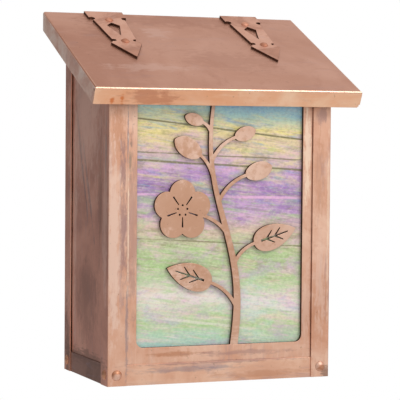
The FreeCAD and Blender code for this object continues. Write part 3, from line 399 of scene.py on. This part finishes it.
def side_marks():
    """Leaning grey streaks of both sides, paler patches higher up and darker ones near the bottom; Y and
    height in millimetres.
    """
    slate = colour(112, 104, 114)
    dusk = colour(120, 86, 74)
    dawn = colour(240, 200, 184)
    # Y, height, half depth, half height, tone, strength, lean in degrees
    patches = [
        (-65, 200, 4, 60, slate, 0.50, -20), (-80, 190, 4, 65, slate, 0.45, -20),
        (-55, 235, 5, 40, slate, 0.40, -20), (-140, 215, 2.5, 40, slate, 0.60, 0),
        (-120, 180, 10, 60, dusk, 0.35, 0), (-70, 20, 80, 8, dusk, 0.60, 0),
        (-80, 75, 40, 45, dusk, 0.30, 0), (-25, 25, 12, 50, dusk, 0.70, 0),
        (-75, 265, 60, 90, dawn, 0.60, 0), (-40, 160, 10, 120, dawn, 0.60, 0),
        (-138, 160, 8, 100, dawn, 0.50, 0),
    ]
    return [((0, y, z), (10 * THROUGH, deep, tall), tone, strength, lean)
            for y, z, deep, tall, tone, strength, lean in patches]


def dress_box(dark_rim_and_shade, dark_sheet_rim_and_shade):
    """Posts, sheets, rails and rivets of the box."""
    post_tones = (colour(212, 154, 124), colour(230, 182, 156), colour(244, 206, 182), colour(224, 170, 142))
    rail_tones = (colour(220, 164, 134), colour(234, 186, 158), colour(244, 208, 184), colour(228, 176, 148))
    side_tones = (colour(192, 136, 118), colour(216, 158, 138), colour(226, 174, 156), colour(202, 144, 126))
    side_rail_tones = (colour(142, 98, 82), colour(148, 108, 94), colour(160, 120, 108), colour(126, 88, 74))
    front = copper("front_copper", post_tones, stain=0.35, seam=0.5, rough=0.42, grain=(3, 3, 0.5),
                   offset=280, marks=front_marks())
    rail = copper("rail_copper", rail_tones, stain=0.40, seam=0.5, rough=0.42, grain=(0.5, 1, 3),
                  offset=320, marks=front_marks())
    side = copper("side_copper", side_tones, stain=0.25, seam=0.6, rough=0.44, scale=0.8,
                  grain=(3, 3, 0.4), offset=120, contrast=0.5, marks=side_marks())
    side_rail = copper("side_rail_copper", side_rail_tones, stain=0.45, seam=0.6, rough=0.44, scale=1.3,
                       grain=(3, 0.6, 3), offset=140, marks=side_marks())
    inner = copper("inner_copper", side_tones, stain=0.3, seam=0.5, rough=0.42, offset=160)
    # Rivets darken most where they meet the sheet: painted shade with some soiling.
    rivet = copper("rivet_copper", (WARM, ROSE, PALE, BROWN), stain=0.2, seam=1.0, rough=0.50, scale=3,
                   offset=240, groove=0.10)
    for name in matching("post_"):
        dress(name, front, side, dark_sheet_rim_and_shade, choose=post_part)
    dress("window_frame", front, dark_rim_and_shade, choose=window_frame_part)
    dress("front_rail", rail)
    for name in matching("side_rail"):
        dress(name, side_rail)
    for name in matching("side_panel"):
        dress(name, side)
    for name in ("back_pan", "floor_pan"):
        dress(name, inner)
    for name in matching("rivet_"):
        dress(name, rivet)


def dress_window(dark_rim_and_shade):
    """The pierced plate, the glass and its clips."""
    tones = (colour(216, 172, 148), colour(230, 192, 170), colour(242, 210, 192), colour(224, 182, 158))
    front = front_of("flower_spray")
    marks = [
        ((0, front, 70), (70, THROUGH, 60), colour(206, 158, 128), 0.70),
        ((-40, front, 165), (95, THROUGH, 95), colour(202, 152, 122), 0.75),
    ]
    spray = copper("pierced_copper", tones, stain=0.10, seam=0.12, rough=0.40, offset=200,
                   waviness=0.6, contrast=0.5, marks=marks)
    clip = drawn_metal("clip_brass", (156, 122, 70), (210, 176, 112), 0.34, (4, 4, 0.2))
    # The spray's edges take the dark edge colour: partly patina, partly painted shade.
    dress("flower_spray", spray, dark_rim_and_shade, choose=lambda normal, centre: 0 if abs(normal.y) > 0.5 else 1)
    dress("art_glass", streaky_glass())
    for name in matching("glass_clip"):
        dress(name, clip)


def lid_marks():
    """Pale and darker patches of the sloping sheet, with a darker band along its back edge; places and sizes
    in millimetres.
    """
    haze = colour(226, 186, 170)
    dusk = colour(170, 112, 88)
    return [
        ((-32, -48, 340), (16, 16, THROUGH), haze, 0.40), ((-62, -128, 300), (60, 10, THROUGH), haze, 0.40),
        ((-90, -60, 330), (26, 50, THROUGH), dusk, 0.30), ((20, -110, 310), (60, 26, THROUGH), dusk, 0.25),
        ((0, -20, 350), (120, 18, THROUGH), dusk, 0.35),
    ]


def fold_marks():
    """The stains of the lid's folded front; places and sizes in millimetres."""
    scorch = colour(188, 118, 88)
    ember = colour(214, 120, 66)
    front = front_of("lid_pan")
    return [
        ((-80, front, 270), (30, THROUGH, 12), scorch, 0.60),
        ((-118, front, 266), (2.5, THROUGH, 4), ember, 0.85),
        ((-108, front, 267), (2.5, THROUGH, 4.5), ember, 0.85),
    ]


def dress_lid(dark_rim_and_shade, dark_sheet_rim_and_shade):
    """The lid's sheet, whose folds have finishes of their own, and its strap plates and their rivets."""
    lid_tones = (colour(186, 128, 102), colour(204, 150, 126), colour(216, 166, 144), colour(194, 138, 114))
    # The front fold's crease is paler and glossier than the sheet: polish from wear and a painted highlight.
    crease_polish_and_highlight_tones = (colour(208, 158, 132), colour(222, 178, 150), colour(238, 204, 182), ROSE)
    fold_tones = (colour(236, 172, 132), colour(246, 200, 166), colour(252, 220, 194), colour(240, 184, 148))
    hem_tones = (colour(232, 180, 160), colour(250, 216, 200), colour(255, 234, 224), colour(240, 196, 178))
    strap_tones = (colour(210, 148, 120), colour(222, 166, 140), colour(232, 182, 158), colour(190, 132, 106))
    lid = copper("lid_copper", lid_tones, stain=0.14, seam=0.3, rough=0.44, scale=0.5, grain=(0.6, 2, 2),
                 waviness=1.5, contrast=0.7, marks=lid_marks())
    crease_polish_and_highlight = copper("crease_polish_and_highlight_copper", crease_polish_and_highlight_tones, stain=0.0, seam=0.0, rough=0.30, offset=20, contrast=0.3)
    fold = copper("lid_fold_copper", fold_tones, stain=0.12, seam=0.35, rough=0.38, scale=0.8,
                  grain=(0.4, 3, 3), offset=40, contrast=0.7, marks=fold_marks())
    hem = copper("lid_hem_copper", hem_tones, stain=0.25, seam=0.35, rough=0.46, scale=2.2, offset=60)
    strap = copper("strap_copper", strap_tones, stain=0.12, seam=0.3, rough=0.42, scale=1.2, offset=80)
    rivet = copper("strap_rivet_copper", strap_tones, stain=0.1, seam=0.7, rough=0.66, scale=2, offset=90)
    up = lid_up()
    dress("lid_pan", lid, fold, dark_sheet_rim_and_shade, hem, crease_polish_and_highlight,
          choose=lambda normal, centre: lid_part(normal, centre, up))
    # The straps' edges take the dark edge colour: partly patina, partly painted shade.
    for name in matching("strap_"):
        dress(name, strap, dark_rim_and_shade, choose=lambda normal, centre: 0 if normal.dot(up) > 0.5 else 1)
    for name in matching("rivet_strap"):
        dress(name, rivet)


def dress_hinge():
    brass = drawn_metal("hinge_brass", (150, 116, 62), (206, 170, 104), 0.36, (0.1, 4, 4))
    steel = drawn_metal("pin_steel", (150, 150, 152), (206, 206, 208), 0.26, (0.1, 4, 4))
    for name in ("hinge_lid_leaf", "hinge_back_leaf", "hinge_batten"):
        dress(name, brass)
    dress("hinge_pin", steel)


def lid_up():
    """The direction square to the lid's top, from the largest flat face of the lid."""
    faces = NODES["lid_pan"].data.polygons
    return max((face for face in faces if face.normal.z > 0.5), key=lambda face: face.area).normal.copy()


def lid_part(normal, centre, slope):
    """0 on the sloping sheet, 1 the folded front, 2 cut ends in the dark edge colour with painted shade, 3
    the folded sides, 4 the crease at the front, paler with polish and a painted highlight.
    """
    low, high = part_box("lid_pan")
    if normal.dot(slope) > 0.97:
        return 0
    if abs(normal.x) < 0.3 and normal.dot(slope) > 0.25:
        return 4
    if normal.dot(slope) < -0.9 and centre.y < low.y + 0.02 and centre.z < low.z + 0.004:
        return 2
    if abs(normal.x) < 0.3 and normal.y < -0.3:
        return 1
    return 3 if abs(normal.x) > 0.85 else 0


def window_frame_part(normal, centre):
    """1 on the cut edge and the fold round the window, which take the dark edge colour with painted shade; 0
    on the rest of the front sheet.
    """
    low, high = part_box("art_glass")
    by_window = low.x < centre.x < high.x and low.z < centre.z < high.z
    return 1 if by_window and abs(normal.y) < 0.5 else 0


def post_part(normal, centre):
    """0 on the legs that face front or back, 1 on the side legs, 2 on the sawn ends, which take the dark edge
    colour with painted shade.
    """
    if abs(normal.z) > 0.6:
        return 2
    return 1 if abs(normal.x) > 0.7 and abs(centre.x) > 0.1 else 0


# ---------------------------------------------------------------- light, floor and camera

def add_light(name, direction, distance, size, watts):
    """A square white light that faces the origin."""
    light = bpy.data.lights.new(name, "AREA")
    light.shape = "SQUARE"
    light.size = size
    light.energy = watts
    holder = bpy.data.objects.new(name, light)
    bpy.context.collection.objects.link(holder)
    away = Vector(direction).normalized()
    holder.location = away * distance
    holder.rotation_euler = away.to_track_quat("Z", "Y").to_euler()


def make_world():
    """A white room, bright in front and to the right, dim behind to the left as the metal mirrors it."""
    world = bpy.data.worlds.new("studio")
    bpy.context.scene.world = world
    world.use_nodes = True
    tree = world.node_tree
    tree.nodes.clear()

    def add(kind, **settings):
        made = tree.nodes.new(kind)
        for name, value in settings.items():
            setattr(made, name, value)
        return made

    where = add("ShaderNodeTexCoord").outputs["Generated"]
    towards = add("ShaderNodeVectorMath", operation="DOT_PRODUCT")
    tree.links.new(where, towards.inputs[0])
    towards.inputs[1].default_value = Vector((0.55, -0.45, 0.70)).normalized()
    shade = add("ShaderNodeMapRange", interpolation_type="SMOOTHSTEP")
    tree.links.new(towards.outputs["Value"], shade.inputs["Value"])
    for name, value in (("From Min", -0.60), ("From Max", 0.42), ("To Min", 0.27), ("To Max", 0.80)):
        shade.inputs[name].default_value = value
    room = add("ShaderNodeBackground")
    tree.links.new(shade.outputs[0], room.inputs["Strength"])
    seen = add("ShaderNodeBackground")
    path = add("ShaderNodeLightPath")
    mixer = add("ShaderNodeMixShader")
    tree.links.new(path.outputs["Is Camera Ray"], mixer.inputs[0])
    tree.links.new(room.outputs[0], mixer.inputs[1])
    tree.links.new(seen.outputs[0], mixer.inputs[2])
    tree.links.new(mixer.outputs[0], add("ShaderNodeOutputWorld").inputs[0])
    room.inputs["Color"].default_value = (1, 1, 1, 1)
    seen.inputs["Color"].default_value = (1, 1, 1, 1)


def make_floor():
    """A wide pale floor well below the box, which hangs on a wall that isn't shown."""
    half = 5.0
    height = BOTTOM - 1.0
    mesh = bpy.data.meshes.new("floor")
    corners = [(-half, -half, height), (half, -half, height), (half, half, height), (-half, half, height)]
    mesh.from_pydata(corners, [], [(0, 1, 2, 3)])
    floor = bpy.data.objects.new("floor", mesh)
    bpy.context.collection.objects.link(floor)
    p = Paint("floor")
    tone = p.ramp(p.noise(2.0, 2), [(0.3, 0.90), (0.7, 0.93)])
    mesh.materials.append(p.finish(tone, 0.9))


# The camera: place in metres, degrees turned right, down and anticlockwise, millimetres for the rest.
CAMERA_PLACE = (-0.6453, -1.6962, 0.0595)
CAMERA_TURN = (21.90, 2.26, 0.47)
LENS = 158.86
SENSOR = 36.0


def make_camera():
    """A camera that looks along +Y, then is turned."""
    yaw, pitch, roll = (math.radians(value) for value in CAMERA_TURN)
    ahead = Vector((math.sin(yaw) * math.cos(pitch), math.cos(yaw) * math.cos(pitch), -math.sin(pitch)))
    level = Vector((math.cos(yaw), -math.sin(yaw), 0))
    upright = level.cross(ahead)
    right = math.cos(roll) * level + math.sin(roll) * upright
    up = math.cos(roll) * upright - math.sin(roll) * level
    camera = bpy.data.cameras.new("camera")
    camera.sensor_width = SENSOR
    camera.lens = LENS
    holder = bpy.data.objects.new("camera", camera)
    bpy.context.collection.objects.link(holder)
    turn = Matrix((right, up, -ahead)).transposed().to_4x4()
    holder.matrix_world = Matrix.Translation(CAMERA_PLACE) @ turn
    bpy.context.scene.camera = holder


# Dark edge colours for cut edges and sheet edges: partly patina, partly painted shade.
dark_rim_and_shade_edge = dark_rim_colour_and_shade("dark_rim_colour_and_shade")
dark_sheet_rim_and_shade_edge = dark_rim_colour_and_shade("sheet_edge", (112, 72, 52))
dress_box(dark_rim_and_shade_edge, dark_sheet_rim_and_shade_edge)
dress_window(dark_rim_and_shade_edge)
dress_lid(dark_rim_and_shade_edge, dark_sheet_rim_and_shade_edge)
dress_hinge()
make_world()
make_floor()
make_camera()
add_light("key", direction=(0.373, -0.737, 0.557), distance=2.2, size=0.9, watts=15.0)
bpy.context.scene.view_settings.view_transform = "Standard"
